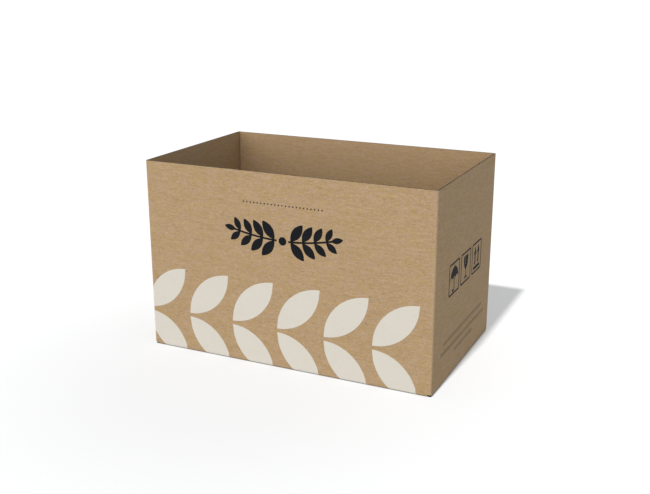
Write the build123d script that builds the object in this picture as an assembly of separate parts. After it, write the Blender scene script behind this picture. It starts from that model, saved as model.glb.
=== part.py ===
from build123d import *

import os
from math import radians, tan

# Open-topped kraft carton with a self-locking base, folded and glued from one die-cut sheet.
# It stands on its base at z = 0, with its long walls facing -Y (front) and +Y (back).
# The sheet runs right wall, front wall, left wall, back wall, seam flap.
# The two halves of the base are the same shape, turned by 180 degrees about Z.

# Driving dimensions in millimetres, angles in degrees
carton_length = 250.0  # outside, along X
carton_width = 150.0  # outside, along Y
carton_height = 160.0  # floor to cut rim
board = 1.2  # thickness of the sheet
fold_inner_radius = 0.3  # inside radius of each right-angled fold
lap_gap = 0.2  # air or glue film between two lapped layers
relief_margin = 0.3  # spare room cut at each lower corner, beyond what the folds there need

# Seam flap, glued to the inside of the right wall
seam_flap_width = 16.0
seam_flap_taper = 12.0  # slant of its two ends
seam_flap_foot = 3.0  # from the lower end of the walls to the flap's fold end
seam_edge_gap = 0.6  # from the back face to the right wall's cut edge

# Long flaps, which carry the lock tongues and the glue tabs
lock_setback = 20.0  # from the centre line to the shallow half's free edge
lock_reach = 38.0  # from the centre line to the tongue's tip
lock_lean = 8.0  # slant of the line where the two tongues pass each other
lock_slot = 1.0  # gap between the two tongues, along X
tongue_tip_radius = 8.0
tongue_hook_radius = 4.0
tongue_flex_radius = 12.0  # gentle bends where a tongue climbs over the other flap
tongue_flex_margin = 1.5  # from a flex bend to the free edge beside it
tab_setback = 8.0  # from the end wall to the glue tab's free edge
tab_corner_radius = 5.0
score_width = 1.2  # crease between a long flap and its glue tab
score_depth = 0.25

# End flaps, which lie on the glue tabs
end_flap_depth = 45.0
end_flap_taper = 6.0  # narrowing of each side towards the tip
end_flap_tip_radius = 6.0
end_flap_flat = 2.2  # level strip beside the end wall, before the flap climbs onto the tab
end_flap_flex_radius = 4.0
end_flap_rise_margin = 0.8  # from the top of that climb to the tab's free edge
end_slot = 2.0  # gap between an end flap's tip and the tongue beside it
glue_inset = 2.0  # bare margin round each glue film

# Sizes that follow from those above
half_length = carton_length / 2
half_width = carton_width / 2
inner_length = half_length - board
inner_width = half_width - board
fold_radius = fold_inner_radius + board
lap_level = board + lap_gap
end_relief = fold_radius + relief_margin  # from a corner to an end flap's crease
long_relief = end_relief + board + lap_gap  # the same for a long flap, whose wall stops inside the seam
seam_face = half_length - board - lap_gap
tab_edge = half_length - tab_setback
tongue_side = half_length - end_flap_depth - end_slot
trim = 2 * fold_radius  # how far cutting outlines run past the sheet


def bent_strip(run):
    """Section of a flap: the sheet turns inwards at its crease, then its lower face follows run.

    The section starts at the lower end of the wall. Across is distance from the wall's outer face.
    """
    crease = CenterArc((fold_radius, fold_radius), fold_radius, 180, 90)
    return make_face(offset(crease + run, amount=board, side=Side.LEFT))


def cut_to_outline(strip, outline):
    """Keep what lies inside an outline drawn on the floor."""
    cutter = extrude(make_face(outline), amount=carton_height / 2, both=True)
    return strip & cutter


def wall_ring():
    """Four walls and the seam flap, one strip bent round four upright folds."""
    outer_face = FilletPolyline(
        (half_length, half_width - seam_edge_gap),
        (half_length, -half_width),
        (-half_length, -half_width),
        (-half_length, half_width),
        (seam_face, half_width),
        (seam_face, half_width - seam_flap_width),
        radius=fold_radius,
    )
    inner_face = FilletPolyline(
        (inner_length, half_width - seam_edge_gap),
        (inner_length, -inner_width),
        (-inner_length, -inner_width),
        (-inner_length, inner_width),
        (seam_face - board, inner_width),
        (seam_face - board, half_width - seam_flap_width),
        radius=fold_inner_radius,
    )
    cut_edges = Line(outer_face @ 0, inner_face @ 0) + Line(outer_face @ 1, inner_face @ 1)
    section = make_face(outer_face + inner_face + cut_edges)
    ring = extrude(section, amount=carton_height - fold_radius)
    return Pos(0, 0, fold_radius) * ring - seam_flap_trim()


def seam_flap_trim():
    """Waste cut from both ends of the seam flap, so that its ends slant."""
    free_edge = half_width - seam_flap_width
    fold_edge = half_width - fold_radius
    rise = (fold_edge - free_edge) * tan(radians(seam_flap_taper))
    foot = fold_radius + seam_flap_foot
    beyond = free_edge - trim
    below = fold_radius - trim
    above = carton_height + trim
    lower = Polyline(
        (beyond, below), (fold_edge, below), (fold_edge, foot), (free_edge, foot + rise), (beyond, foot + rise),
        close=True,
    )
    upper = Polyline(
        (beyond, above), (fold_edge, above), (fold_edge, carton_height), (free_edge, carton_height - rise),
        (beyond, carton_height - rise),
        close=True,
    )
    inner_side = Plane(origin=(seam_face + lap_gap / 2, 0, 0), x_dir=(0, 1, 0), z_dir=(1, 0, 0))
    depth = board + lap_gap
    return extrude(inner_side * make_face(lower), -depth) + extrude(inner_side * make_face(upper), -depth)


def long_flap():
    """Front flap: its right half holds the glue tab, its left half the tongue that climbs over the back flap."""
    climb_start = half_width - lock_setback + tongue_flex_margin
    climb_end = half_width + lock_setback - tongue_flex_margin
    run = FilletPolyline(
        (fold_radius, 0),
        (climb_start, 0),
        (climb_end, lap_level),
        (half_width + lock_reach, lap_level),
        radius=tongue_flex_radius,
    )
    front = Plane(origin=(-half_length, -half_width, 0), x_dir=(0, 1, 0), z_dir=(1, 0, 0))
    strip = extrude(front * bent_strip(run), carton_length)
    flap = cut_to_outline(strip, long_flap_outline())
    return flap - tab_score()


def long_flap_outline():
    """Cut edge of the front flap, anticlockwise from the left end of its crease."""
    crease_end = half_length - long_relief
    slant = crease_end - tongue_side
    lean = tan(radians(lock_lean))
    hook = lock_reach * lean - lock_slot / 2
    root = -lock_setback * lean - lock_slot / 2
    return FilletPolyline(
        (-crease_end, -half_width - trim),
        (crease_end, -half_width - trim),
        (crease_end, -half_width),
        (tab_edge, -half_width + crease_end - tab_edge),
        (tab_edge, -lock_setback),
        (root, -lock_setback),
        (hook, lock_reach),
        (-tongue_side, lock_reach),
        (-tongue_side, -half_width + slant),
        (-crease_end, -half_width),
        radius=[0, 0, 0, 0, tab_corner_radius, 0, tongue_hook_radius, tongue_tip_radius, 0, 0],
        close=True,
    )


def tab_score():
    """Groove pressed in the underside along the 45 degree crease between the front flap and its tab."""
    start = (half_length, -half_width, 0)
    across = Plane(origin=start, x_dir=(1, 1, 0), z_dir=(-1, 1, 0))
    groove = Polyline((-score_width / 2, 0), (score_width / 2, 0), (0, score_depth), close=True)
    crease_run = (half_width - lock_setback) * 2
    return extrude(across * make_face(groove), crease_run)


def end_flap():
    """Right flap, which climbs from its crease onto the front flap's glue tab."""
    run = FilletPolyline(
        (fold_radius, 0),
        (end_flap_flat, 0),
        (tab_setback - end_flap_rise_margin, lap_level),
        (end_flap_depth, lap_level),
        radius=end_flap_flex_radius,
    )
    right = Plane(origin=(half_length, -half_width, 0), x_dir=(-1, 0, 0), z_dir=(0, 1, 0))
    strip = extrude(right * bent_strip(run), carton_width)
    return cut_to_outline(strip, end_flap_outline())


def end_flap_outline():
    """Cut edge of the right flap: mitred beside the crease, then narrowing a little to a rounded tip."""
    crease_end = half_width - end_relief
    shoulder = crease_end - tab_setback
    tip = shoulder - end_flap_taper
    tip_edge = half_length - end_flap_depth
    return FilletPolyline(
        (half_length + trim, -crease_end),
        (half_length + trim, crease_end),
        (half_length, crease_end),
        (tab_edge, shoulder),
        (tip_edge, tip),
        (tip_edge, -tip),
        (tab_edge, -shoulder),
        (half_length, -crease_end),
        radius=[0, 0, 0, 0, end_flap_tip_radius, end_flap_tip_radius, 0, 0],
        close=True,
    )


def tab_glue():
    """Glue film between the front flap's tab and the right flap that lies on it."""
    near = tab_edge - glue_inset
    top = -lock_setback - glue_inset
    score_clear = score_width + glue_inset
    crease_at_near = -half_width + (half_length - near) + score_clear
    crease_at_top = half_length - (half_width + top) + score_clear
    tab_face = Polyline((near, crease_at_near), (near, top), (crease_at_top, top), close=True)
    film = Pos(0, 0, board) * extrude(make_face(tab_face), lap_gap)
    under_flap = Box(end_flap_depth, carton_width, carton_height, align=(Align.MIN, Align.CENTER, Align.CENTER))
    return film & Pos(half_length - end_flap_depth + glue_inset, 0, 0) * under_flap


def seam_glue():
    """Glue film between the seam flap and the right wall."""
    free_edge = half_width - seam_flap_width
    film_width = seam_flap_width - fold_radius - 2 * glue_inset
    film_foot = fold_radius + seam_flap_foot + seam_flap_width * tan(radians(seam_flap_taper))
    film_height = carton_height - 2 * film_foot
    film = Box(lap_gap, film_width, film_height, align=(Align.MIN, Align.MIN, Align.CENTER))
    return Pos(seam_face, free_edge + glue_inset, carton_height / 2) * film


half_base = long_flap() + end_flap() + tab_glue()
folded_carton = wall_ring() + seam_glue() + half_base + Rot(0, 0, 180) * half_base

os.makedirs("parts", exist_ok=True)
export_step(folded_carton, "parts/folded_carton.step")
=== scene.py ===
"""Dress the folded kraft carton with its board finish and printed ink, and set up the studio and the camera."""

import logging
import math
from dataclasses import dataclass, field
from enum import Enum

import bmesh
import bpy
import numpy as np
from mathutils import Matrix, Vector


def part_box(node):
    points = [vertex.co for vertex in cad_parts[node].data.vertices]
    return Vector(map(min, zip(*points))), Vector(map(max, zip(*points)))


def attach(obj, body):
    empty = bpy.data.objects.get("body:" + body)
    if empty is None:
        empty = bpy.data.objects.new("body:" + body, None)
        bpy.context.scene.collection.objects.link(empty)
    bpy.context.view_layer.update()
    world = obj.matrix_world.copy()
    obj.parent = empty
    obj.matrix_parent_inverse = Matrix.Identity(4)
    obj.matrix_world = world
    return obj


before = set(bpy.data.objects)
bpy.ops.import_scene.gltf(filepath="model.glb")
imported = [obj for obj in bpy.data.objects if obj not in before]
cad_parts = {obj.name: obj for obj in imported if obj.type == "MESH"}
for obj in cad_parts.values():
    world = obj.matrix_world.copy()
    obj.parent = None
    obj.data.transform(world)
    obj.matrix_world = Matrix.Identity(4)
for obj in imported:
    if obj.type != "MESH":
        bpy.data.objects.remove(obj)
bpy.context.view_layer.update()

LOG = logging.getLogger("carton_scene")
MM = 0.001
QUARTER = math.pi / 2
WHITE = (1.0, 1.0, 1.0)
RIBBON_SIDES = np.array([-1.0, 0.0, 1.0])  # a ribbon's two edges and its middle

Pair = tuple[float, float]
Triple = tuple[float, float, float]
Socket = bpy.types.NodeSocket
Inputs = dict[int | str, object]  # what goes into a node, by the input's number or name


class Ink(Enum):
    """Printing inks, each named for the record's material slot."""

    CREAM = "cream_ink"
    DARK = "dark_ink"


class Wall(Enum):
    """Printed walls: the direction along each, to the right seen from outside, and the direction out of it."""

    FRONT = ((1.0, 0.0, 0.0), (0.0, -1.0, 0.0))
    RIGHT = ((0.0, 1.0, 0.0), (1.0, 0.0, 0.0))


class Lean(Enum):
    """Which way a leaf of the frieze leans as it rises."""

    RIGHT = 1
    LEFT = -1


class Zone(Enum):
    """Places on the board that look different from its outer face."""

    INSIDE = "inside"
    OUTER_FOLD = "outer fold"
    INNER_FOLD = "inner fold"
    RIM = "cut rim"


class MixKind(Enum):
    """What a Mix node mixes, with the numbers of its two inputs and its output for that."""

    RGBA = (6, 7, 2)
    VECTOR = (4, 5, 1)


# Helpers for objects and shader nodes


def add_object(name: str, data: bpy.types.ID) -> bpy.types.Object:
    """Make an object from its data and link it to the scene.

    Args:
        name: the object's name.
        data: its mesh, lamp or camera.

    Returns:
        The new object.
    """
    made = bpy.data.objects.new(name, data)
    bpy.context.scene.collection.objects.link(made)
    return made


def rgba(colour: Triple) -> tuple[float, float, float, float]:
    """Give a colour full opacity."""
    return (*colour, 1.0)


class NodeDesk:
    """Adds nodes to one material or world and links them."""

    def __init__(self, owner: bpy.types.ID) -> None:
        """Clear the owner's node tree and start on it."""
        owner.use_nodes = True
        self.tree = owner.node_tree
        self.tree.nodes.clear()

    def add(self, kind: str, inputs: Inputs | None = None, **settings: object) -> bpy.types.Node:
        """Add one node.

        Args:
            kind: Blender's name for the node type.
            inputs: output sockets to link to its inputs, or plain values for them.
            settings: properties of the node and their values.

        Returns:
            The new node.
        """
        node = self.tree.nodes.new(kind)
        for name, value in settings.items():
            setattr(node, name, value)
        for key, value in (inputs or {}).items():
            if isinstance(value, Socket):
                self.tree.links.new(value, node.inputs[key])
            else:
                node.inputs[key].default_value = value
        return node

    def show(self, shader: bpy.types.Node, output: str = "ShaderNodeOutputMaterial") -> None:
        """Send a shader to the output of the material or the world."""
        self.add(output, {"Surface": shader.outputs[0]})

    def math(self, operation: str, *operands: object) -> Socket:
        """Add a Math node, by Blender's name for the operation and the sockets or numbers that it reads."""
        return self.add("ShaderNodeMath", dict(enumerate(operands)), operation=operation).outputs[0]

    def mix(self, factor: object, first: object, second: object, kind: MixKind = MixKind.RGBA) -> Socket:
        """Add a Mix node.

        Args:
            factor: share of the second value, a socket or a number.
            first: first value, a socket or the three numbers of a colour.
            second: second value.
            kind: what is mixed.

        Returns:
            The mixed value's socket.
        """
        *places, result = kind.value
        values = (value if isinstance(value, Socket) else rgba(value) for value in (first, second))
        inputs = {0: factor, **dict(zip(places, values))}
        return self.add("ShaderNodeMix", inputs, data_type=kind.name).outputs[result]

    def cover(self, colour: object, tone: Triple, mask: Socket, strength: float) -> Socket:
        """Lay a tone over a colour, by a mask times a strength."""
        return self.mix(self.math("MULTIPLY", mask, strength), colour, tone)

    def blend(self, values: tuple[Socket, Socket], shares: Pair) -> Socket:
        """Add up two numbers, each times its share."""
        first = self.math("MULTIPLY", values[0], shares[0])
        return self.math("MULTIPLY_ADD", values[1], shares[1], first)

    def shade(self, colour: Socket, level: Socket) -> Socket:
        """Multiply a colour by a number."""
        return self.add("ShaderNodeVectorMath", {0: colour, "Scale": level}, operation="SCALE").outputs[0]

    def split(self, vector: Socket) -> list[Socket]:
        """Take a vector apart into its three numbers."""
        return list(self.add("ShaderNodeSeparateXYZ", {0: vector}).outputs)

    def place(self) -> Socket:
        """Read the place on the object."""
        return self.add("ShaderNodeTexCoord").outputs["Object"]

    def remap(self, value: Socket, source: Pair, target: Pair, style: str = "LINEAR") -> Socket:
        """Carry a number over from one range to another, with what lies outside held at its ends."""
        inputs = dict(enumerate((value, *source, *target)))
        return self.add("ShaderNodeMapRange", inputs, interpolation_type=style).outputs[0]

    def ease(self, value: Socket, start: float, end: float) -> Socket:
        """Add a smooth step that goes from 0 at start to 1 at end."""
        return self.remap(value, (start, end), (0.0, 1.0), "SMOOTHSTEP")

    def noise(self, vector: Socket, stretch: Triple, detail: float) -> Socket:
        """Add noise about 0.5, by the features in a metre along each axis and the number of finer layers."""
        mapped = self.add("ShaderNodeMapping", {"Vector": vector, "Scale": stretch}).outputs[0]
        return self.add("ShaderNodeTexNoise", {"Vector": mapped, "Scale": 1.0, "Detail": detail}).outputs[0]

    def background_ray(self) -> Socket:
        """Add the test for rays that see the background: from the camera, a gloss or a clear body."""
        path = self.add("ShaderNodeLightPath")
        gloss = self.math("MAXIMUM", path.outputs["Is Glossy Ray"], path.outputs["Is Transmission Ray"])
        return self.math("MAXIMUM", path.outputs["Is Camera Ray"], gloss)


# Finishes


@dataclass(frozen=True)
class Fibres:
    """Noise drawn out along the board's grain."""

    along: float  # features in a metre along the grain
    across: float  # features in a metre across it
    detail: float  # number of finer layers

    def pattern(self, desk: NodeDesk, grain: Socket) -> Socket:
        """Add the pattern to a material, with values about 0.5."""
        return desk.noise(grain, (self.along, self.across, self.across), self.detail)


@dataclass(frozen=True)
class MattCoat:
    """Shader of a dry matt face: roughness that varies from fibre to fibre, and a fine tooth."""

    roughness: Pair  # on the smoothest and the roughest fibres
    gloss: float
    tooth: float  # strength of the bump
    tooth_depth: float
    fibre_range: Pair = (0.3, 0.7)  # noise values that stand for those fibres

    def finish(self, desk: NodeDesk, colour: Socket, fibre: Socket, relief: Socket) -> None:
        """Add the shader and the material's output.

        Args:
            desk: the material's node helper.
            colour: colour of the face.
            fibre: pattern that the roughness follows.
            relief: height that the bump follows.
        """
        tooth = {"Strength": self.tooth, "Distance": self.tooth_depth, "Height": relief}
        inputs = {
            "Base Color": colour,
            "Roughness": desk.remap(fibre, self.fibre_range, self.roughness),
            "Specular IOR Level": self.gloss,
            "Normal": desk.add("ShaderNodeBump", tooth).outputs[0],
        }
        desk.show(desk.add("ShaderNodeBsdfPrincipled", inputs))


def grain_coordinates(desk: NodeDesk, end_wall_facing: float = 0.7) -> Socket:
    """Lay coordinates along the board's grain, which runs round the carton's walls.

    Args:
        desk: the material's node helper.
        end_wall_facing: share of a face's normal along X from which it counts as an end wall.

    Returns:
        Vector socket with its first axis along the grain: X and Y are swapped on the end walls.
    """
    place = desk.place()
    along, across, up = desk.split(place)
    swapped = desk.add("ShaderNodeCombineXYZ", {0: across, 1: along, 2: up}).outputs[0]
    facing = desk.split(desk.add("ShaderNodeNewGeometry").outputs["True Normal"])[0]
    end_wall = desk.math("GREATER_THAN", desk.math("ABSOLUTE", facing), end_wall_facing)
    return desk.mix(end_wall, place, swapped, MixKind.VECTOR)


@dataclass(frozen=True)
class CartonZones:
    """Masks for the carton's inside, its upright folds and its cut rim."""

    half_length: float
    half_width: float
    height: float
    thickness: float = 1.2 * MM
    crease_width: float = 1.6 * MM  # band beside each upright fold: rubbed on the outside, painted shade on the inside
    rim_depth: float = 0.05 * MM

    def masks(self, desk: NodeDesk) -> dict[Zone, Socket]:
        """Add the masks to a material.

        Args:
            desk: the material's node helper.

        Returns:
            One socket for each zone, 1 within it and 0 elsewhere.
        """
        place_x, place_y, place_z = desk.split(desk.place())
        reach = (desk.math("ABSOLUTE", place_x), desk.math("ABSOLUTE", place_y))
        halves = (self.half_length, self.half_width)
        inner = [half - self.thickness for half in halves]
        by_fold = [desk.ease(far, wall - self.crease_width, wall) for far, wall in zip(reach, inner)]
        near_fold = desk.math("MULTIPLY", *by_fold)
        beyond = [desk.math("GREATER_THAN", far, half - self.thickness / 2) for far, half in zip(reach, halves)]
        outside = desk.math("MAXIMUM", *beyond)
        inside = desk.math("SUBTRACT", 1.0, outside)
        return {
            Zone.INSIDE: inside,
            Zone.OUTER_FOLD: desk.math("MULTIPLY", near_fold, outside),
            Zone.INNER_FOLD: desk.math("MULTIPLY", near_fold, inside),
            Zone.RIM: desk.math("GREATER_THAN", place_z, self.height - self.rim_depth),
        }


@dataclass(frozen=True)
class KraftBoard:
    """Unbleached kraft liner: fibres of varied hue and tone, sparse specks, a dark cut rim and rubbed folds, with
    painted shade in the inner corners and a darker inside.
    """

    straw: Triple = (0.4375, 0.293, 0.1345)
    blush: Triple = (0.4635, 0.318, 0.1950)
    plain: Triple = (0.361, 0.240, 0.127)  # duller, darker tone mixed in on the inside: smoother inner liner, and painted shade inside the carton
    shades: Pair = (0.83, 1.17)  # darkest and lightest fibres, as shares of those colours
    knot: Triple = (0.310, 0.195, 0.082)
    fleck: Triple = (0.600, 0.480, 0.330)
    cut: Triple = (0.020, 0.014, 0.009)
    torn: Triple = (0.215, 0.140, 0.078)  # lighter places in the cut rim
    rubbed: Triple = (0.510, 0.370, 0.220)
    # painted shade in the inner corners, beside the upright folds
    inner_corner_shade: Triple = (0.235, 0.145, 0.070)
    mottle: Fibres = Fibres(along=1700.0, across=1900.0, detail=1.0)
    streak: Fibres = Fibres(along=90.0, across=620.0, detail=1.0)
    tint: Fibres = Fibres(along=210.0, across=760.0, detail=2.0)
    cloud: Fibres = Fibres(along=70.0, across=150.0, detail=1.0)
    speck: Fibres = Fibres(along=250.0, across=620.0, detail=1.0)
    fibre: Fibres = Fibres(along=420.0, across=2600.0, detail=2.0)
    tear: Fibres = Fibres(along=620.0, across=620.0, detail=1.0)
    tone_shares: Pair = (0.74, 0.26)  # of mottling and streaks in the shade
    hue_shares: Pair = (0.78, 0.22)  # of tint and clouds in the hue
    relief_shares: Pair = (0.6, 0.4)  # of fibres and mottling in the tooth
    tone_range: Pair = (0.32, 0.68)  # values of each pattern between which its change takes place
    hue_range: Pair = (0.40, 0.60)
    knot_range: Pair = (0.68, 0.78)
    fleck_range: Pair = (0.27, 0.18)
    wear_range: Pair = (0.35, 0.65)
    tear_range: Pair = (0.44, 0.60)
    knot_strength: float = 0.6
    fleck_strength: float = 0.5
    inside_calm_and_shade: float = 0.12
    wear_strength: float = 0.5
    inner_corner_shade_strength: float = 0.8
    coat: MattCoat = MattCoat(roughness=(0.80, 0.94), gloss=0.35, tooth=0.22, tooth_depth=0.12 * MM)

    def face(self, desk: NodeDesk, grain: Socket, mottle: Socket) -> Socket:
        """Colour the board's face, before folds and edges.

        Args:
            desk: the material's node helper.
            grain: coordinates along the grain.
            mottle: the mottling's pattern.

        Returns:
            Colour socket.
        """
        tone = desk.blend((mottle, self.streak.pattern(desk, grain)), self.tone_shares)
        tint = desk.blend((self.tint.pattern(desk, grain), self.cloud.pattern(desk, grain)), self.hue_shares)
        hue = desk.mix(desk.ease(tint, *self.hue_range), self.blush, self.straw)
        colour = desk.shade(hue, desk.remap(tone, self.tone_range, self.shades))
        speck = self.speck.pattern(desk, grain)
        colour = desk.cover(colour, self.knot, desk.ease(speck, *self.knot_range), self.knot_strength)
        return desk.cover(colour, self.fleck, desk.ease(speck, *self.fleck_range), self.fleck_strength)

    def material(self, zones: CartonZones) -> bpy.types.Material:
        """Make the board's material.

        Args:
            zones: places of the folds, the inside and the rim.

        Returns:
            The finished material.
        """
        material = bpy.data.materials.new("kraft_board")
        desk = NodeDesk(material)
        grain = grain_coordinates(desk)
        mottle = self.mottle.pattern(desk, grain)
        fibre = self.fibre.pattern(desk, grain)
        masks = zones.masks(desk)
        worn = desk.math("MULTIPLY", masks[Zone.OUTER_FOLD], desk.ease(mottle, *self.wear_range))
        tear = desk.ease(self.tear.pattern(desk, grain), *self.tear_range)
        colour = self.face(desk, grain, mottle)
        # calmer texture of the inner liner, and painted shade that makes the whole inside darker
        colour = desk.cover(colour, self.plain, masks[Zone.INSIDE], self.inside_calm_and_shade)
        colour = desk.cover(colour, self.rubbed, worn, self.wear_strength)
        # painted shade in the inner corners, along the upright folds
        colour = desk.cover(colour, self.inner_corner_shade, masks[Zone.INNER_FOLD], self.inner_corner_shade_strength)
        colour = desk.mix(masks[Zone.RIM], colour, desk.mix(tear, self.cut, self.torn))
        self.coat.finish(desk, colour, fibre, desk.blend((fibre, mottle), self.relief_shares))
        return material


@dataclass(frozen=True)
class FlexoInk:
    """Matt printing ink: an even film that thins out on the board's raised fibres."""

    ink: Ink
    film: Triple
    thin: Triple
    gloss: float
    fibre: Fibres = Fibres(along=330.0, across=2300.0, detail=2.0)
    cloud: Fibres = Fibres(along=40.0, across=75.0, detail=3.0)
    thin_shares: Pair = (0.7, 0.3)  # of fibres and clouds in the thinning
    thin_range: Pair = (0.48, 0.74)  # values of that pattern between which the film thins
    thin_strength: float = 0.6
    roughness: Pair = (0.62, 0.80)
    tooth: float = 0.15
    tooth_depth: float = 0.08 * MM

    def material(self) -> bpy.types.Material:
        """Make the ink's material.

        Returns:
            The finished material.
        """
        material = bpy.data.materials.new(self.ink.value)
        desk = NodeDesk(material)
        grain = grain_coordinates(desk)
        fibre = self.fibre.pattern(desk, grain)
        pattern = desk.blend((fibre, self.cloud.pattern(desk, grain)), self.thin_shares)
        colour = desk.cover(self.film, self.thin, desk.ease(pattern, *self.thin_range), self.thin_strength)
        coat = MattCoat(self.roughness, self.gloss, self.tooth, self.tooth_depth)
        coat.finish(desk, colour, fibre, fibre)
        return material


CREAM_INK = FlexoInk(ink=Ink.CREAM, film=(0.716, 0.668, 0.580), thin=(0.662, 0.600, 0.493), gloss=0.20)
DARK_INK = FlexoInk(ink=Ink.DARK, film=(0.0066, 0.0080, 0.0105), thin=(0.028, 0.025, 0.021), gloss=0.08)


# Flat shapes, each a grid of points across and up a wall in metres


def between_curves(across: np.ndarray, lower: np.ndarray, upper: np.ndarray, steps: int) -> np.ndarray:
    """Fill the area between two curves.

    Formula: point (s, t) is at across(s), and at lower(s) + t * (upper(s) - lower(s)) up the wall.

    Args:
        across: places along the wall.
        lower: height of the lower curve at each place.
        upper: height of the upper curve at each place.
        steps: number of cells from one curve to the other.

    Returns:
        Grid of points, shape (len(across), steps + 1, 2).
    """
    share = np.linspace(0.0, 1.0, steps + 1)
    up = lower[:, None] + share[None, :] * (upper - lower)[:, None]
    return np.stack([np.broadcast_to(across[:, None], up.shape), up], axis=-1)


def ribbon(path: np.ndarray, half_width: np.ndarray | float) -> np.ndarray:
    """Carry a straight profile along a path.

    Formula: point (s, t) is at path(s) + t * half_width(s) * normal(s), for t from -1 to 1, where the normal is
    the path's direction turned by a quarter.

    Args:
        path: points of the path, shape (n, 2).
        half_width: half the ribbon's width, one number or one for each point.

    Returns:
        Grid of points, shape (n, 3, 2).
    """
    step = np.gradient(path, axis=0)
    step /= np.linalg.norm(step, axis=1, keepdims=True)
    normal = np.stack([-step[:, 1], step[:, 0]], axis=1)
    reach = np.broadcast_to(half_width, path.shape[:1])
    return path[:, None, :] + RIBBON_SIDES[None, :, None] * (reach[:, None] * normal)[:, None, :]


def bar(start: Pair, end: Pair, width: float, steps: int = 2) -> np.ndarray:
    """Make a straight bar, a ribbon along the line from start to end."""
    return ribbon(np.linspace(start, end, steps + 1), width / 2)


def disc(centre: Pair, radius: float, steps: int) -> np.ndarray:
    """Fill a circle.

    Formula: point (s, t) of a square from -1 to 1 is at centre + radius * (s * sqrt(1 - t * t / 2),
    t * sqrt(1 - s * s / 2)), which brings the square's border onto the circle.

    Args:
        centre: middle of the circle.
        radius: its radius.
        steps: number of cells along each side of the square.

    Returns:
        Grid of points, shape (steps + 1, steps + 1, 2).
    """
    line = np.linspace(-1.0, 1.0, steps + 1)
    first, second = np.meshgrid(line, line, indexing="ij")
    across = first * np.sqrt(1.0 - second**2 / 2)
    up = second * np.sqrt(1.0 - first**2 / 2)
    return np.array(centre) + radius * np.stack([across, up], axis=-1)


def rounded_band(half: float, corner: float, width: float, steps: int = 8) -> np.ndarray:
    """Make a square band with round corners.

    Formula: four quarter arcs, each about a point that lies half - corner across and up from the middle, joined
    into one closed path. Point (s, t) is on the arc of radius corner + t * width / 2 at angle s, for t from -1
    to 1.

    Args:
        half: half the square's side, along the middle of the band.
        corner: radius of the corners, along the middle of the band.
        width: width of the band.
        steps: number of cells along each corner.

    Returns:
        Grid of points whose last row lies on the first.
    """
    quarter = np.arange(4)[:, None] * QUARTER
    turn = (quarter + np.linspace(0.0, QUARTER, steps + 1)).ravel()
    diagonal = np.repeat(quarter + QUARTER / 2, steps + 1)
    pivot = (half - corner) * math.sqrt(2.0) * np.stack([np.cos(diagonal), np.sin(diagonal)], axis=1)
    aim = np.stack([np.cos(turn), np.sin(turn)], axis=1)
    radius = corner + RIBBON_SIDES * width / 2
    band = pivot[:, None, :] + radius[None, :, None] * aim[:, None, :]
    return np.concatenate([band, band[:1]])


def leaf(root: np.ndarray, tip: np.ndarray, half_width: float, power: float = 0.8, steps: int = 24) -> np.ndarray:
    """Fill a pointed leaf.

    Formula: a ribbon along the line from root to tip whose half width is half_width * sin(pi * s) ** power.

    Args:
        root: the leaf's lower point.
        tip: its upper point.
        half_width: half its width at the middle.
        power: how lean the leaf is; 0 would be a plain bar.
        steps: number of cells along it.

    Returns:
        Grid of points, shape (steps + 1, 3, 2).
    """
    share = np.linspace(0.0, 1.0, steps + 1)
    swell = np.clip(np.sin(math.pi * share), 0.0, 1.0) ** power
    return ribbon(root + share[:, None] * (tip - root), half_width * swell)


def grid_cells(index: np.ndarray) -> np.ndarray:
    """Join the vertices of an index grid into four-sided cells, one row of four indices for each."""
    return np.stack([index[:-1, :-1], index[1:, :-1], index[1:, 1:], index[:-1, 1:]], axis=-1).reshape(-1, 4)


# Ink films on the walls


@dataclass(frozen=True)
class PrintPlane:
    """Outer face of one wall, which carries on round the quarter arcs of its folds."""

    wall: Wall
    half_span: float  # from the wall's middle to its upright folds' outer faces
    distance: float  # from the carton's middle to the wall's outer face
    fold: float  # outer radius of the folds

    @property
    def flat_span(self) -> float:
        """Distance from the wall's middle to the start of its upright folds."""
        return self.half_span - self.fold

    def lay(self, patch: np.ndarray) -> tuple[np.ndarray, np.ndarray]:
        """Lay a flat patch on the wall.

        Formula: a point d past the start of a fold lies fold * sin(d / fold) further on and
        fold * (1 - cos(d / fold)) inwards; before it, the wall is flat.

        Args:
            patch: points across and up the wall, shape (rows, columns, 2).

        Returns:
            Places and outward unit normals, both of shape (rows, columns, 3).
        """
        across, up = patch[..., 0], patch[..., 1]
        side_turn = np.clip((np.abs(across) - self.flat_span) / self.fold, 0.0, QUARTER)
        base_turn = np.clip((self.fold - up) / self.fold, 0.0, QUARTER)
        reach = np.minimum(np.abs(across), self.flat_span) + self.fold * np.sin(side_turn)
        out_place = self.distance - self.fold * (2.0 - np.cos(side_turn) - np.cos(base_turn))
        up_place = np.maximum(up, self.fold) - self.fold * np.sin(base_turn)
        along, outward = (np.array(axis) for axis in self.wall.value)
        above = np.array([0.0, 0.0, 1.0])
        side = np.sign(across)
        place = (side * reach)[..., None] * along + out_place[..., None] * outward + up_place[..., None] * above
        normal = (
            (side * np.sin(side_turn) * np.cos(base_turn))[..., None] * along
            + (np.cos(side_turn) * np.cos(base_turn))[..., None] * outward
            - np.sin(base_turn)[..., None] * above
        )
        return place, normal


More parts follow.
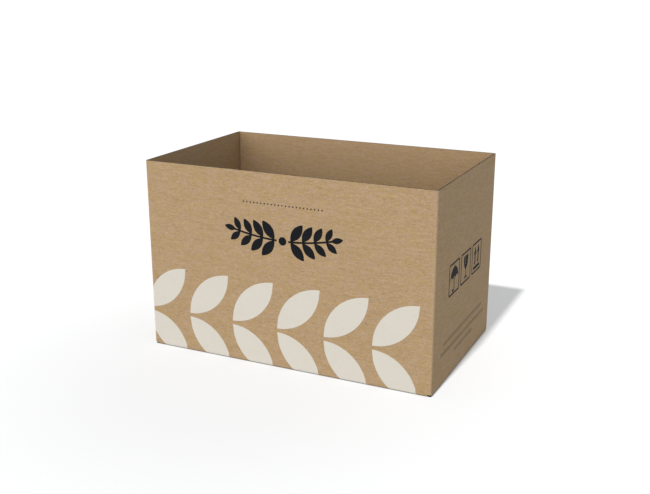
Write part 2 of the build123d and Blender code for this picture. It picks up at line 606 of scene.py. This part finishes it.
@dataclass
class InkFilm:
    """One print: a set of flat patches of one ink on one wall, built as thin closed shells in one mesh."""

    name: str
    plane: PrintPlane
    finish: FlexoInk
    patches: list[np.ndarray]
    proud: float = 0.02 * MM
    sunk: float = 0.03 * MM
    weld: float = 0.002 * MM

    def shell(self, patch: np.ndarray) -> tuple[np.ndarray, np.ndarray]:
        """Give a patch its thickness.

        Formula: each grid point p with normal n gives p + proud * n above the board and p - sunk * n inside it.
        Cells join neighbours on each layer, and the grid's border joins the two layers. A patch whose last row
        lies on its first is a closed band with two borders.

        Args:
            patch: points across and up the wall.

        Returns:
            Vertices, and faces as rows of four indices.
        """
        closed = np.allclose(patch[0], patch[-1])
        if closed:
            patch = patch[:-1]
        place, normal = self.plane.lay(patch)
        top = (place + self.proud * normal).reshape(-1, 3)
        bottom = (place - self.sunk * normal).reshape(-1, 3)
        index = np.arange(len(top)).reshape(patch.shape[:2])
        if closed:
            cells = grid_cells(np.concatenate([index, index[:1]]))
            borders = [index[:, 0], index[::-1, -1]]
        else:
            cells = grid_cells(index)
            borders = [np.concatenate([index[:, 0], index[-1, 1:], index[-2::-1, -1], index[0, -2:0:-1]])]
        below = index.size
        skirts = [
            np.stack([border, border + below, np.roll(border, -1) + below, np.roll(border, -1)], axis=-1)
            for border in borders
        ]
        return np.concatenate([top, bottom]), np.concatenate([cells, cells[:, ::-1] + below, *skirts])

    def mesh(self) -> bpy.types.Mesh:
        """Join the shells into one mesh, weld the leaves' pointed ends and turn its faces outwards.

        Returns:
            The finished mesh.
        """
        shells = [self.shell(patch) for patch in self.patches]
        starts = np.cumsum([0] + [len(vertices) for vertices, _ in shells[:-1]])
        vertices = np.concatenate([vertices for vertices, _ in shells])
        faces = np.concatenate([cells + start for (_, cells), start in zip(shells, starts)])
        mesh = bpy.data.meshes.new(self.name)
        mesh.from_pydata(vertices.tolist(), [], faces.tolist())
        work = bmesh.new()
        work.from_mesh(mesh)
        bmesh.ops.remove_doubles(work, verts=work.verts[:], dist=self.weld)
        bmesh.ops.dissolve_degenerate(work, edges=work.edges[:], dist=self.weld)
        bmesh.ops.recalc_face_normals(work, faces=work.faces[:])
        work.to_mesh(mesh)
        work.free()
        return mesh

    def build(self, material: bpy.types.Material) -> bpy.types.Object:
        """Make the print's object and tie it to the carton.

        Args:
            material: the ink's material.

        Returns:
            The print's object.
        """
        mesh = self.mesh()
        mesh.materials.append(material)
        piece = add_object(self.name, mesh)
        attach(piece, "root")
        return piece


@dataclass(frozen=True)
class LeafFrieze:
    """Two rows of large leaves that lean against each other and run off the front wall's left and lower folds."""

    tile: float = 41.0 * MM
    top: float = 73.0 * MM
    right_end: float = 115.5 * MM
    columns: int = 6
    gap: float = 1.6 * MM  # bare board round each leaf's square
    crease_end: float = 121.8 * MM  # how far the lower fold runs to each side of the middle
    last_turn: float = math.radians(80.0)  # how far the print goes round the lower fold
    flat_cells: tuple[int, int] = (40, 10)  # across and up a leaf on the flat wall
    fold_cells: tuple[int, int] = (8, 6)  # across an upright fold, and down the lower one

    def leaf_patch(self, plane: PrintPlane, left: float, floor: float, lean: Lean) -> np.ndarray:
        """Fill one leaf, the overlap of two quarter circles in opposite corners of a square.

        Formula: in a square of side 1 the lower arc is 1 - sqrt(1 - s ** 2) and the upper arc
        sqrt(1 - (1 - s) ** 2), read backwards for a leaf that leans left. Heights below the lower fold's print
        end are cut off, and the rows are spread so that one lies along the start of that fold.

        Args:
            plane: the wall's face.
            left: left side of the leaf's square.
            floor: lower side of the square.
            lean: which way the leaf leans.

        Returns:
            Grid of points across and up the wall.
        """
        side = self.tile - 2 * self.gap
        left, floor = left + self.gap, floor + self.gap
        start = max(left, -plane.flat_span - plane.fold * QUARTER)
        flat_start = max(start, -plane.flat_span)
        turned = np.linspace(start, flat_start, self.fold_cells[0] + 1)
        flat = np.linspace(flat_start, left + side, self.flat_cells[0] + 1)
        across = np.unique(np.concatenate([turned, flat]))
        share = np.clip((across - left) / side, 0.0, 1.0)
        if lean is Lean.LEFT:
            share = 1.0 - share
        lower = floor + side * (1.0 - np.sqrt(1.0 - share**2))
        upper = floor + side * np.sqrt(1.0 - (1.0 - share) ** 2)
        print_end = np.where(np.abs(across) < self.crease_end, plane.fold * (1.0 - self.last_turn), plane.fold)
        kept = upper > print_end
        across, lower, upper = across[kept], np.maximum(lower, print_end)[kept], upper[kept]
        bend = np.clip(plane.fold, lower, upper)
        below = between_curves(across, lower, bend, self.fold_cells[1])
        above = between_curves(across, bend, upper, self.flat_cells[1])
        return np.concatenate([below, above[:, 1:]], axis=1)

    def patches(self, plane: PrintPlane) -> list[np.ndarray]:
        """Lay out the two rows, the upper one leaning right and the lower one left.

        Args:
            plane: the wall's face.

        Returns:
            One patch for each leaf.
        """
        rows = ((self.top - self.tile, Lean.RIGHT), (self.top - 2 * self.tile, Lean.LEFT))
        return [
            self.leaf_patch(plane, self.right_end - (column + 1) * self.tile, floor, lean)
            for floor, lean in rows
            for column in range(self.columns)
        ]


@dataclass(frozen=True)
class SprigPair:
    """Two mirrored sprigs of paired leaves that spread from a small disc."""

    middle: float = 107.0 * MM
    reach: float = 42.0 * MM
    rise: float = 5.0 * MM
    stem_width: float = 1.6 * MM
    stem_start: float = 0.12  # this and the next two are shares of the reach
    first_pair: float = 0.16
    last_pair: float = 0.88
    pairs: int = 4
    leaf_length: float = 19.5 * MM
    leaf_half_width: float = 4.3 * MM
    leaf_angle: float = math.radians(52.0)
    leaf_foot: float = 0.6 * MM  # from the stem's middle line to a leaf's root
    dwindle: float = 0.42  # how much smaller a leaf is at the end of the stem
    tip_leaf: Pair = (0.5, 0.55)  # length and width of the last leaf, as shares of the largest leaf's
    disc_radius: float = 3.4 * MM
    stem_cells: int = 24
    disc_cells: int = 12

    def stem(self, share: np.ndarray) -> np.ndarray:
        """Place points on the right stem: even steps across, and a height that grows as the share's square."""
        return np.stack([self.reach * share, self.middle + self.rise * share**2], axis=-1)

    def aim(self, share: float, turn: float = 0.0) -> np.ndarray:
        """Find the direction at some angle from the stem's own, which follows from its formula's slope."""
        angle = math.atan2(2.0 * self.rise * share, self.reach) + turn
        return np.array([math.cos(angle), math.sin(angle)])

    def side_leaf(self, share: float, turn: float) -> np.ndarray:
        """Grow one leaf from the stem.

        Args:
            share: its place along the stem.
            turn: angle from the stem's direction to the leaf's.

        Returns:
            The leaf's patch.
        """
        root, aim = self.stem(np.array(share)), self.aim(share, turn)
        size = 1.0 - self.dwindle * share
        tip = root + self.leaf_length * size * aim
        return leaf(root + self.leaf_foot * aim, tip, self.leaf_half_width * size)

    def right_half(self) -> list[np.ndarray]:
        """Make the right sprig: its stem, its leaf pairs from large to small, and a leaf at the tip.

        Returns:
            Patches of the right half.
        """
        stem = ribbon(self.stem(np.linspace(self.stem_start, 1.0, self.stem_cells + 1)), self.stem_width / 2)
        sides = [
            self.side_leaf(share, turn)
            for share in np.linspace(self.first_pair, self.last_pair, self.pairs)
            for turn in (self.leaf_angle, -self.leaf_angle)
        ]
        end, aim, (length, width) = self.stem(np.array(1.0)), self.aim(1.0), self.tip_leaf
        tip = end + length * self.leaf_length * aim
        return [stem, *sides, leaf(end - self.leaf_foot * aim, tip, width * self.leaf_half_width)]

    def patches(self) -> list[np.ndarray]:
        """Add the mirrored half and the disc between the two."""
        half = self.right_half()
        mirrored = [shape * np.array([-1.0, 1.0]) for shape in half]
        return [*half, *mirrored, disc((0.0, self.middle), self.disc_radius, self.disc_cells)]


@dataclass(frozen=True)
class DottedRule:
    """Row of small dots above the sprigs."""

    half_span: float = 34.0 * MM
    height: float = 135.4 * MM
    radius: float = 0.62 * MM
    dots: int = 23
    dot_cells: int = 4

    def patches(self) -> list[np.ndarray]:
        """Space the dots evenly along the rule."""
        places = np.linspace(-self.half_span, self.half_span, self.dots)
        return [disc((place, self.height), self.radius, self.dot_cells) for place in places]


@dataclass(frozen=True)
class UmbrellaSign:
    """Open umbrella: a round canopy with a scalloped hem, a shaft and a hooked handle."""

    radius: float = 9.7 * MM
    scallops: int = 3
    hem_rise: float = 1.9 * MM
    hem_drop: float = 0.8 * MM  # from the sign's middle down to the hem's points
    foot_drop: float = 8.3 * MM  # and down to the start of the hook
    hook: float = 2.1 * MM
    shaft: float = 1.6 * MM
    shaft_lap: float = 1.52 * MM  # how far the shaft runs up into the canopy
    ferrule: Pair = (-0.3 * MM, 1.4 * MM)  # its ends, above the top of the canopy
    canopy_cells: tuple[int, int] = (60, 8)  # across and up
    shaft_cells: int = 5
    hook_cells: int = 16

    def patches(self) -> list[np.ndarray]:
        """Draw the sign about its middle.

        Formula: the canopy lies between a half circle and a hem that rises by the size of a sine in each scallop.

        Returns:
            Patches of the sign.
        """
        hem, foot = -self.hem_drop, -self.foot_drop
        share = np.linspace(-1.0, 1.0, self.canopy_cells[0] + 1)
        dome = hem + self.radius * np.sqrt(1.0 - share**2)
        scallop = hem + self.hem_rise * np.abs(np.sin((share + 1.0) * self.scallops * QUARTER))
        canopy = between_curves(self.radius * share, np.minimum(scallop, dome), dome, self.canopy_cells[1])
        turn = np.linspace(0.0, math.pi, self.hook_cells + 1)
        bend = np.stack([self.hook * (np.cos(turn) - 1.0), foot - self.hook * np.sin(turn)], axis=-1)
        straight = np.linspace((0.0, hem + self.shaft_lap), (0.0, foot), self.shaft_cells + 1)[:-1]
        handle = ribbon(np.concatenate([straight, bend]), self.shaft / 2)
        low, high = (hem + self.radius + end for end in self.ferrule)
        return [canopy, handle, bar((0.0, low), (0.0, high), self.shaft)]


@dataclass(frozen=True)
class GlassSign:
    """Stemmed glass: a bowl in two parts beside a zigzag crack, a stem and a foot."""

    half_height: float = 9.4 * MM
    rim_half: float = 5.6 * MM
    bowl: float = 11.6 * MM  # height of the bowl
    bowl_point: float = 0.16  # half width at the bowl's lower end, as a share of the rim's
    bowl_fullness: float = 3.4  # power of the bowl's curve
    crack_gap: float = 0.8 * MM
    crack_heights: tuple[float, ...] = (0.0, 0.34, 0.50, 0.64, 0.80, 1.0)  # shares of the bowl's height
    crack_steps: tuple[float, ...] = (0.0, 0.0, -1.6 * MM, -0.2 * MM, -2.0 * MM, -0.9 * MM)  # places there
    crack_spread: tuple[Triple, Triple] = ((0.34, 0.40, 1.0), (-0.2, 0.7, 1.0))  # heights, shares of the gap
    stem: float = 1.3 * MM
    stem_lap: float = 0.2 * MM  # how far the stem runs up into the bowl
    foot_half: float = 4.2 * MM
    foot_rise: float = 1.5 * MM
    foot_edge: float = 0.3 * MM
    bowl_cells: tuple[int, int] = (40, 4)  # up the bowl, and across each part of it
    foot_cells: tuple[int, int] = (20, 2)  # across and up

    def patches(self) -> list[np.ndarray]:
        """Draw the sign about its middle.

        Formula: the bowl's half width at share t of its height goes from bowl_point to 1 times the rim's, with
        1 - (1 - t) ** bowl_fullness. The crack is a line that steps from side to side down the upper bowl. Below
        it the two parts lap a little. Each part fills the area between its two edges, by even steps across.

        Returns:
            Patches of the sign.
        """
        top, foot = self.half_height, -self.half_height
        share = np.linspace(0.0, 1.0, self.bowl_cells[0] + 1)
        height = top - self.bowl * (1.0 - share)
        swell = 1.0 - (1.0 - share) ** self.bowl_fullness
        half = self.rim_half * (self.bowl_point + (1.0 - self.bowl_point) * swell)
        zigzag = np.interp(share, self.crack_heights, self.crack_steps)
        opening = self.crack_gap * np.interp(share, *self.crack_spread)
        parts = [
            between_curves(height, near, far, self.bowl_cells[1])[..., ::-1]
            for near, far in ((-half, zigzag - opening / 2), (zigzag + opening / 2, half))
        ]
        spread = np.linspace(-1.0, 1.0, self.foot_cells[0] + 1)
        dome = foot + self.foot_edge + self.foot_rise * (1.0 - spread**2)
        base = between_curves(self.foot_half * spread, np.full(spread.shape, foot), dome, self.foot_cells[1])
        low, high = foot + self.foot_rise / 2, top - self.bowl + self.stem_lap
        return [*parts, bar((0.0, low), (0.0, high), self.stem), base]


@dataclass(frozen=True)
class ArrowSign:
    """Two upward arrows on a bar."""

    bar_half: float = 8.6 * MM
    bar_drop: float = 8.6 * MM  # from the sign's middle down to the bar
    bar_width: float = 2.7 * MM
    spacing: float = 8.6 * MM
    tip_rise: float = 9.6 * MM
    neck_rise: float = 3.2 * MM
    foot_drop: float = 5.9 * MM
    head_half: float = 3.3 * MM
    shaft: float = 2.9 * MM
    lap: float = 0.5 * MM  # how far the shaft runs into the head
    head_cells: int = 8

    def patches(self) -> list[np.ndarray]:
        """Draw the sign about its middle; each head is a ribbon that narrows evenly to its tip.

        Returns:
            Patches of the sign.
        """
        shapes = [bar((-self.bar_half, -self.bar_drop), (self.bar_half, -self.bar_drop), self.bar_width)]
        taper = np.linspace(1.0, 0.0, self.head_cells + 1)
        for place in (-self.spacing / 2, self.spacing / 2):
            head = np.linspace((place, self.neck_rise), (place, self.tip_rise), self.head_cells + 1)
            shapes.append(ribbon(head, self.head_half * taper))
            shapes.append(bar((place, -self.foot_drop), (place, self.neck_rise + self.lap), self.shaft))
        return shapes


@dataclass(frozen=True)
class HandlingMarks:
    """Three common signs in a row, each in a round-cornered frame."""

    centres: Triple = (-29.2 * MM, 0.75 * MM, 30.7 * MM)
    middle: float = 81.6 * MM
    half_frame: float = 12.3 * MM
    stroke: float = 1.5 * MM
    corner: float = 1.6 * MM
    signs: tuple[UmbrellaSign, GlassSign, ArrowSign] = (UmbrellaSign(), GlassSign(), ArrowSign())

    def patches(self) -> list[np.ndarray]:
        """Put the three signs in their frames."""
        band = rounded_band(self.half_frame, self.corner, self.stroke)
        return [
            shape + np.array([centre, self.middle])
            for sign, centre in zip(self.signs, self.centres)
            for shape in (band, *sign.patches())
        ]


@dataclass(frozen=True)
class HatchedRules:
    """Three fine bands of upright ticks, one above the other, with the lowest one shorter."""

    spans: tuple[Triple, ...] = (  # height of each band, and its two ends
        (33.4 * MM, -49.0 * MM, 51.0 * MM),
        (25.9 * MM, -55.0 * MM, 57.0 * MM),
        (18.8 * MM, -21.5 * MM, 24.5 * MM),
    )
    pitch: float = 2.0 * MM
    tick: float = 3.2 * MM
    thickness: float = 0.50 * MM

    def patches(self) -> list[np.ndarray]:
        """Space the ticks of each band evenly.

        Returns:
            One patch for each tick.
        """
        ticks = []
        for height, start, end in self.spans:
            low, high = height - self.tick / 2, height + self.tick / 2
            places = np.linspace(start, end, round((end - start) / self.pitch) + 1)
            ticks += [bar((place, low), (place, high), self.thickness) for place in places]
        return ticks


# The carton


@dataclass
class Carton:
    """The folded board and the print on it."""

    node: str = "folded_carton"
    fold: float = 1.5 * MM  # outer radius of the folds
    board: KraftBoard = KraftBoard()
    half_length: float = field(init=False)
    half_width: float = field(init=False)
    height: float = field(init=False)

    def __post_init__(self) -> None:
        """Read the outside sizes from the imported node."""
        _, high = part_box(self.node)
        self.half_length, self.half_width, self.height = high

    def dress_board(self) -> bpy.types.Object:
        """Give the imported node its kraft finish.

        Returns:
            The node's object.
        """
        zones = CartonZones(self.half_length, self.half_width, self.height)
        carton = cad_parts[self.node]
        carton.data.materials.clear()
        carton.data.materials.append(self.board.material(zones))
        return carton

    def prints(self) -> list[bpy.types.Object]:
        """Build every print on the front and right walls.

        Returns:
            The prints' objects.
        """
        front = PrintPlane(Wall.FRONT, self.half_length, self.half_width, self.fold)
        right = PrintPlane(Wall.RIGHT, self.half_width, self.half_length, self.fold)
        films = (
            InkFilm("front_leaf_frieze", front, CREAM_INK, LeafFrieze().patches(front)),
            InkFilm("front_sprig_pair", front, DARK_INK, SprigPair().patches()),
            InkFilm("front_dotted_rule", front, DARK_INK, DottedRule().patches()),
            InkFilm("side_handling_marks", right, DARK_INK, HandlingMarks().patches()),
            InkFilm("side_hatched_rules", right, DARK_INK, HatchedRules().patches()),
        )
        materials = {finish: finish.material() for finish in (CREAM_INK, DARK_INK)}
        return [film.build(materials[film.finish]) for film in films]


# Studio and camera


@dataclass(frozen=True)
class SoftLamp:
    """Distant lamp with a wide face, which gives soft-edged shadows."""

    name: str
    strength: float
    spread: float  # width of its face as seen from the carton, in degrees
    toward: Triple  # direction from the carton to the lamp
    colour: Triple = WHITE

    def build(self, receivers: list[bpy.types.Object]) -> bpy.types.Object:
        """Make the lamp and turn it to the carton.

        Args:
            receivers: the objects that it lights.

        Returns:
            The lamp's object.
        """
        data = bpy.data.lights.new(self.name, "SUN")
        data.energy = self.strength
        data.color = self.colour
        data.angle = math.radians(self.spread)
        lamp = add_object(self.name, data)
        aim = Vector(self.toward).normalized()
        lamp.location = aim
        lamp.rotation_euler = aim.to_track_quat("Z", "Y").to_euler()
        lit = bpy.data.collections.new(f"lit_by_{self.name}")
        for receiver in receivers:
            lit.objects.link(receiver)
        lamp.light_linking.receiver_collection = lit
        return lamp


@dataclass(frozen=True)
class Studio:
    """White floor, even sky, a broad lamp for the carton and a small one that throws its shadow on the floor."""

    carton: Carton
    floor_half: float = 9.0
    floor_cells: int = 6
    floor_albedo: float = 0.40
    bounce_share: float = 0.70  # share of the floor's light that reaches the carton
    glow_levels: Pair = (0.260, 0.380)  # what the camera sees on top of the floor's shading, near and far; lower near, as painted soft shade in front of the carton
    glow_reach: Pair = (0.04, 0.30)  # near and far, as distances from the middle of the painted soft shade in front of the carton
    glow_colour: Triple = (1.0, 0.985, 0.950)  # evens out the sky's tint
    painted_shade_centre: Triple = (-0.03, -0.12, 0.0)
    cover_inset: float = 0.5 * MM  # from the walls' outer faces to the floor that the carton covers
    under_carton_shadow_level: float = 0.04  # share of the floor's brightness that is left there: painted shadow under the carton
    contact: float = 1.6 * MM  # reach of the contact shadow round the carton's foot
    contact_depth: float = 0.42  # how much of the floor's brightness it can take away
    sky: float = 0.48
    sky_colour: Triple = (0.84, 0.90, 1.0)
    carton_lamp: SoftLamp = SoftLamp(
        "carton_lamp", strength=3.04, spread=85.0, toward=(-0.20, -0.97, 0.12), colour=(1.0, 0.98, 0.96)
    )
    floor_lamp: SoftLamp = SoftLamp("floor_lamp", strength=4.95, spread=2.5, toward=(-0.022, -0.605, 0.796))

    def floor(self) -> bpy.types.Object:
        """Lay the floor, a square grid at height zero that the object's shadow falls on.

        Returns:
            The floor's object.
        """
        line = np.linspace(-self.floor_half, self.floor_half, self.floor_cells + 1)
        vertices = np.stack(np.meshgrid(line, line, [0.0], indexing="ij"), axis=-1).reshape(-1, 3)
        index = np.arange(len(vertices)).reshape(len(line), -1)
        mesh = bpy.data.meshes.new("floor")
        mesh.from_pydata(vertices.tolist(), [], grid_cells(index).tolist())
        mesh.materials.append(self.floor_material())
        floor = add_object("floor", mesh)
        return floor

    def openness(self, desk: NodeDesk) -> Socket:
        """Paint shadow on the floor under the carton, and a contact shadow close to its foot.

        Args:
            desk: the floor material's node helper.

        Returns:
            Socket with the share of the floor's brightness that is left, 1 on the open floor.
        """
        halves = (self.carton.half_length, self.carton.half_width)
        reach = [desk.math("ABSOLUTE", part) for part in desk.split(desk.place())[:2]]
        beyond = [desk.math("GREATER_THAN", far, half - self.cover_inset) for far, half in zip(reach, halves)]
        # painted shadow on the floor under the carton
        cover = desk.remap(desk.math("MAXIMUM", *beyond), (0.0, 1.0), (self.under_carton_shadow_level, 1.0))
        near = desk.add("ShaderNodeAmbientOcclusion", {"Distance": self.contact})
        contact = desk.math("MULTIPLY_ADD", near.outputs["AO"], self.contact_depth, 1.0 - self.contact_depth)
        return desk.math("MULTIPLY", cover, contact)

    def floor_material(self) -> bpy.types.Material:
        """Make a matt pale floor that shows as white with the shadow on it.

        Returns:
            The floor's material.
        """
        material = bpy.data.materials.new("floor_white")
        desk = NodeDesk(material)
        seen = desk.background_ray()
        openness = self.openness(desk)
        albedo = desk.remap(seen, (0.0, 1.0), (self.floor_albedo * self.bounce_share, self.floor_albedo))
        matt = desk.add("ShaderNodeBsdfDiffuse", {"Color": desk.math("MULTIPLY", albedo, openness)})
        # painted soft shade: the floor's glow is lower close to a place in front of the carton
        away = desk.add("ShaderNodeVectorMath", {0: desk.place(), 1: self.painted_shade_centre}, operation="DISTANCE")
        level = desk.remap(away.outputs["Value"], self.glow_reach, self.glow_levels, "SMOOTHSTEP")
        strength = desk.math("MULTIPLY", desk.math("MULTIPLY", level, openness), seen)
        glow = desk.add("ShaderNodeEmission", {"Color": rgba(self.glow_colour), "Strength": strength})
        desk.show(desk.add("ShaderNodeAddShader", {0: matt.outputs[0], 1: glow.outputs[0]}))
        return material

    def world(self) -> None:
        """Make an even sky that shows as plain white behind the floor."""
        world = bpy.data.worlds.new("studio_white")
        bpy.context.scene.world = world
        desk = NodeDesk(world)
        light = desk.add("ShaderNodeBackground", {"Color": rgba(self.sky_colour), "Strength": self.sky})
        white = desk.add("ShaderNodeBackground", {"Color": rgba(WHITE), "Strength": 1.0})
        inputs = {0: desk.background_ray(), 1: light.outputs[0], 2: white.outputs[0]}
        desk.show(desk.add("ShaderNodeMixShader", inputs), "ShaderNodeOutputWorld")


@dataclass(frozen=True)
class PhotoCamera:
    """Camera at the photograph's place, worked out from the carton's corners."""

    place: Triple = (0.32482, -0.68692, 0.31344)
    azimuth: float = 25.232
    elevation: float = 16.956
    lens: float = 51.626
    sensor: float = 36.0

    def build(self) -> bpy.types.Object:
        """Make the camera and give it to the scene.

        Returns:
            The camera's object.
        """
        data = bpy.data.cameras.new("photo_camera")
        data.sensor_width = self.sensor
        data.lens = self.lens
        camera = add_object("photo_camera", data)
        camera.location = self.place
        camera.rotation_euler = (math.radians(90.0 - self.elevation), 0.0, math.radians(self.azimuth))
        bpy.context.scene.camera = camera
        return camera


def main() -> None:
    """Dress the carton, build its prints, then the studio and the camera."""
    logging.basicConfig(level=logging.INFO, format="%(name)s: %(message)s")
    bpy.context.scene.view_settings.view_transform = "Standard"
    carton = Carton()
    pieces = [carton.dress_board(), *carton.prints()]
    for piece in pieces:
        LOG.info("piece %s with %d faces", piece.name, len(piece.data.polygons))
    studio = Studio(carton)
    floor = studio.floor()
    LOG.info("stage %s", floor.name)
    studio.world()
    for lamp in (studio.carton_lamp.build(pieces), studio.floor_lamp.build([floor])):
        LOG.info("light %s", lamp.name)
    LOG.info("camera %s", PhotoCamera().build().name)


if __name__ == "__main__":
    main()
